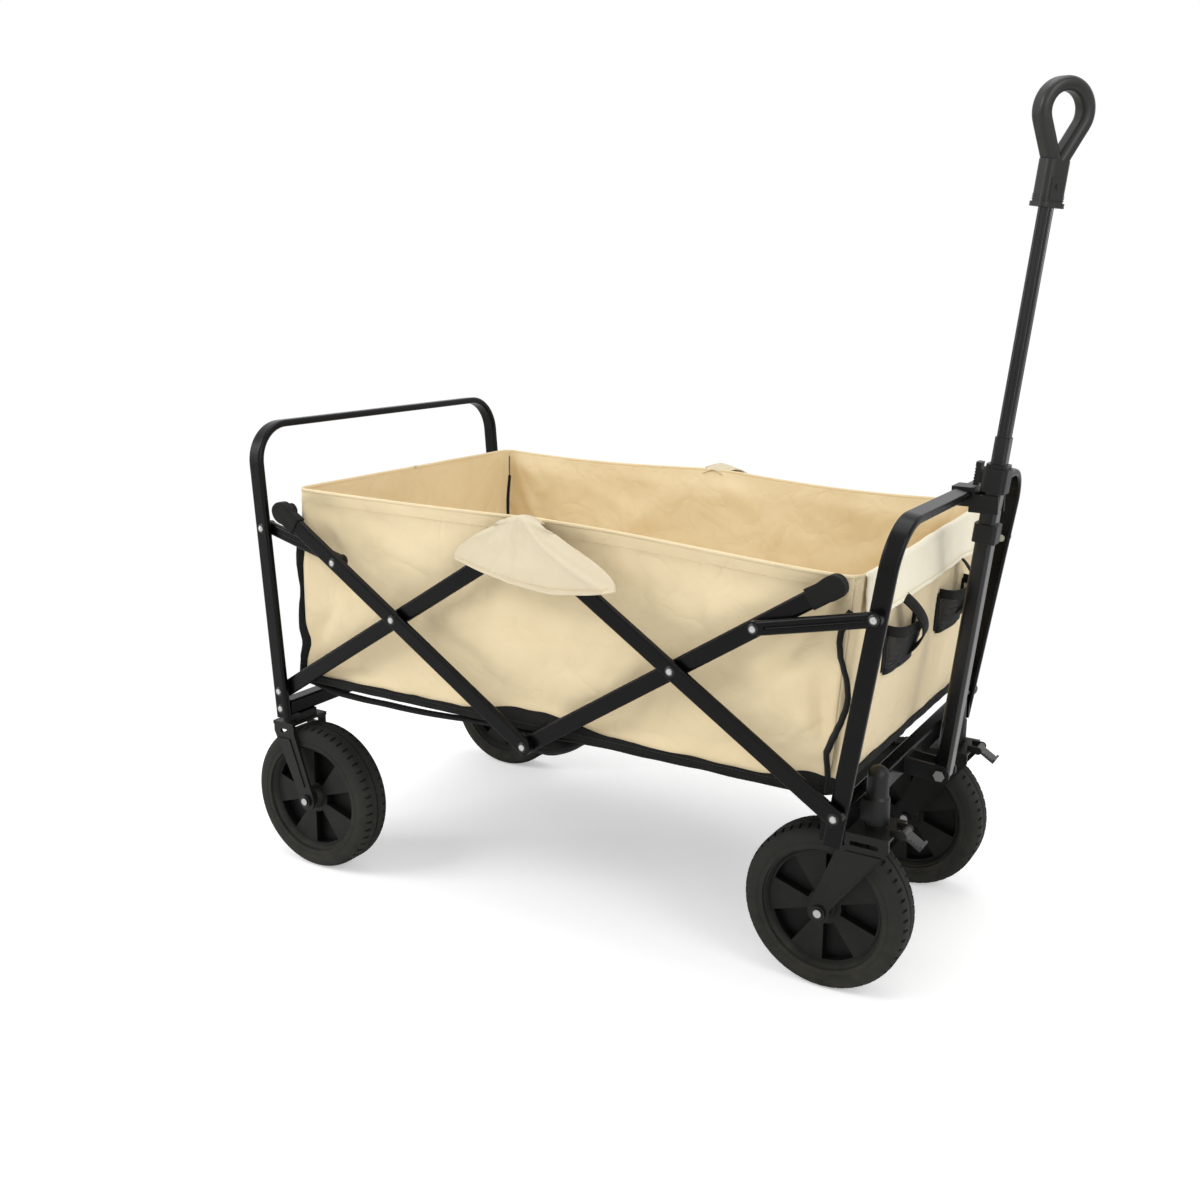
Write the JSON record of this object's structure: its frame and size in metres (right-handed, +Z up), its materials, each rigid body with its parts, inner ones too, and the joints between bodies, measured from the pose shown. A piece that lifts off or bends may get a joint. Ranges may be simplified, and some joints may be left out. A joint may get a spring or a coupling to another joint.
{
  "type": "folding beach cart",
  "caption": "Folding beach cart with a scissor frame, open fabric tub, swivelling front wheels, fixed rear wheels and a telescopic pull handle in a front clip",
  "frame": {"origin": "on the floor, under the middle of the bounding box of the open cart with its handle parked in the clip", "axes": "+X towards the pull handle, +Y to the cart's left, +Z up"},
  "size_m": [0.9701, 0.51, 0.98],
  "materials": {
    "black_steel": "satin black powder coat",
    "black_tube": "satin black",
    "zinc": "bright zinc",
    "zinc_plate": "dull zinc",
    "tyre": "matte",
    "wheel_plastic": "matte moulded",
    "black_plastic": "fine grained",
    "grey_plastic": "fine grained",
    "canvas": "woven polyester canvas",
    "black_fabric": "webbing",
    "mesh_fabric": "open mesh",
    "board": "covered stiff board"
  },
  "bodies": {
    "rear_frame": {"rear_frame": "black_steel", "rear_crossbar": "black_steel", "rear_fork_left": "black_steel", "rear_fork_right": "black_steel", "rear_axle_bolts": "zinc", "rear_pivot_rivets": "zinc", "tub": "canvas", "floor_boards": "board", "side_flaps": "canvas", "front_pockets": "mesh_fabric"},
    "inner_rear_arms": {"inner_rear_arm_left": "black_steel", "inner_rear_arm_right": "black_steel", "rear_arm_rivets": "zinc"},
    "outer_rear_arms": {"outer_rear_arm_left": "black_steel", "outer_rear_arm_right": "black_steel", "centre_tube": "black_steel", "centre_sleeves": "black_plastic", "centre_rivets": "zinc", "rear_link_studs": "zinc", "rear_corner_caps": "black_fabric"},
    "outer_front_arms": {"outer_front_arm_left": "black_steel", "outer_front_arm_right": "black_steel", "front_arm_rivets": "zinc"},
    "inner_front_arms": {"inner_front_arm_left": "black_steel", "inner_front_arm_right": "black_steel", "front_corner_caps": "black_fabric"},
    "front_frame": {"front_frame": "black_steel", "front_crossbar": "black_steel", "stem_housings": "black_plastic", "handle_yoke": "zinc_plate", "yoke_bolt": "zinc", "rail_clip": "black_plastic"},
    "rear_links": {"rear_link_left": "black_steel", "rear_link_right": "black_steel", "rear_link_rivets": "zinc"},
    "front_links": {"front_link_left": "black_steel", "front_link_right": "black_steel", "front_link_rivets": "zinc"},
    "caster_left": {"caster_fork_left": "black_steel", "front_axle_bolt_left": "zinc"},
    "caster_right": {"caster_fork_right": "black_steel", "front_axle_bolt_right": "zinc"},
    "pedal_left": {"brake_pedal_left": "grey_plastic"},
    "pedal_right": {"brake_pedal_right": "grey_plastic"},
    "wheel_rl": {"tyre_rear_left": "tyre", "rim_rear_left": "wheel_plastic"},
    "wheel_rr": {"tyre_rear_right": "tyre", "rim_rear_right": "wheel_plastic"},
    "wheel_fl": {"tyre_front_left": "tyre", "rim_front_left": "wheel_plastic"},
    "wheel_fr": {"tyre_front_right": "tyre", "rim_front_right": "wheel_plastic"},
    "handle_outer": {"outer_tube": "black_tube", "lower_sleeve": "black_plastic", "lock_collar": "black_plastic"},
    "collar_button": {"collar_button": "black_plastic"},
    "handle_middle": {"middle_tube": "black_tube"},
    "handle_inner": {"inner_tube": "black_tube", "grip": "black_plastic"}
  },
  "joints": [
    {"name": "fold", "type": "hinge", "parent": "rear_frame", "child": "inner_rear_arms", "pos_m": [-0.42407, 0, 0.24], "axis": [0, -1, 0], "range_deg": [0, 41.15], "deforming": ["tub", "floor_boards", "side_flaps", "front_pockets"]},
    {"name": "rear_cross", "type": "hinge", "parent": "inner_rear_arms", "child": "outer_rear_arms", "pos_m": [-0.23357, 0, 0.363], "axis": [0, -1, 0], "range_deg": [-82.5, 0.2]},
    {"name": "top_middle", "type": "hinge", "parent": "inner_rear_arms", "child": "outer_front_arms", "pos_m": [-0.04307, 0, 0.486], "axis": [0, -1, 0], "range_deg": [-82.5, 0.2]},
    {"name": "front_cross", "type": "hinge", "parent": "outer_front_arms", "child": "inner_front_arms", "pos_m": [0.14743, 0, 0.363], "axis": [0, -1, 0], "range_deg": [-0.2, 82.5]},
    {"name": "front_foot", "type": "hinge", "parent": "outer_front_arms", "child": "front_frame", "pos_m": [0.33793, 0, 0.24], "axis": [0, -1, 0], "range_deg": [-0.2, 41.35]},
    {"name": "rear_link_swing", "type": "hinge", "parent": "rear_frame", "child": "rear_links", "pos_m": [-0.44262, 0, 0.452], "axis": [0, -1, 0], "range_deg": [-0.2, 79.67]},
    {"name": "front_link_swing", "type": "hinge", "parent": "front_frame", "child": "front_links", "pos_m": [0.36961, 0, 0.452], "axis": [0, -1, 0], "range_deg": [-73.61, 0.2]},
    {"name": "caster_swivel_left", "type": "hinge", "parent": "front_frame", "child": "caster_left", "pos_m": [0.34893, 0.146, 0.23], "axis": [0, 0, 1], "continuous": true},
    {"name": "caster_swivel_right", "type": "hinge", "parent": "front_frame", "child": "caster_right", "pos_m": [0.34893, -0.146, 0.23], "axis": [0, 0, 1], "continuous": true},
    {"name": "brake_left", "type": "hinge", "parent": "caster_left", "child": "pedal_left", "pos_m": [0.38193, 0.146, 0.1965], "axis": [0, 1, 0], "range_deg": [0, 24]},
    {"name": "brake_right", "type": "hinge", "parent": "caster_right", "child": "pedal_right", "pos_m": [0.38193, -0.146, 0.1965], "axis": [0, 1, 0], "range_deg": [0, 24]},
    {"name": "wheel_rear_left", "type": "hinge", "parent": "rear_frame", "child": "wheel_rl", "pos_m": [-0.39006, 0.212, 0.095], "axis": [0, 1, 0], "continuous": true},
    {"name": "wheel_rear_right", "type": "hinge", "parent": "rear_frame", "child": "wheel_rr", "pos_m": [-0.39006, -0.212, 0.095], "axis": [0, 1, 0], "continuous": true},
    {"name": "wheel_front_left", "type": "hinge", "parent": "caster_left", "child": "wheel_fl", "pos_m": [0.29893, 0.146, 0.095], "axis": [0, 1, 0], "continuous": true},
    {"name": "wheel_front_right", "type": "hinge", "parent": "caster_right", "child": "wheel_fr", "pos_m": [0.29893, -0.146, 0.095], "axis": [0, 1, 0], "continuous": true},
    {"name": "handle_swing", "type": "hinge", "parent": "front_frame", "child": "handle_outer", "pos_m": [0.37793, 0, 0.215], "axis": [0, 1, 0], "range_deg": [0, 78]},
    {"name": "collar_press", "type": "slide", "parent": "handle_outer", "child": "collar_button", "axis": [0.9942, 0, -0.108], "range_m": [0, 0.003], "stiffness_N_per_m": 400, "springref_m": -0.004},
    {"name": "handle_middle", "type": "slide", "parent": "handle_outer", "child": "handle_middle", "axis": [0.108, 0, 0.9942], "range_m": [-0.026, 0.14]},
    {"name": "handle_inner", "type": "slide", "parent": "handle_middle", "child": "handle_inner", "axis": [0.108, 0, 0.9942], "range_m": [-0.22, 0.03]}
  ],
  "couplings": [
    {"joint": "rear_cross", "follows": "fold", "ratio": -2},
    {"joint": "top_middle", "follows": "fold", "ratio": -2},
    {"joint": "front_cross", "follows": "fold", "ratio": 2},
    {"joint": "front_foot", "follows": "fold", "ratio": 1},
    {"joint": "rear_link_swing", "follows": "fold", "ratio": 1.9313},
    {"joint": "front_link_swing", "follows": "fold", "ratio": -1.784}
  ]
}
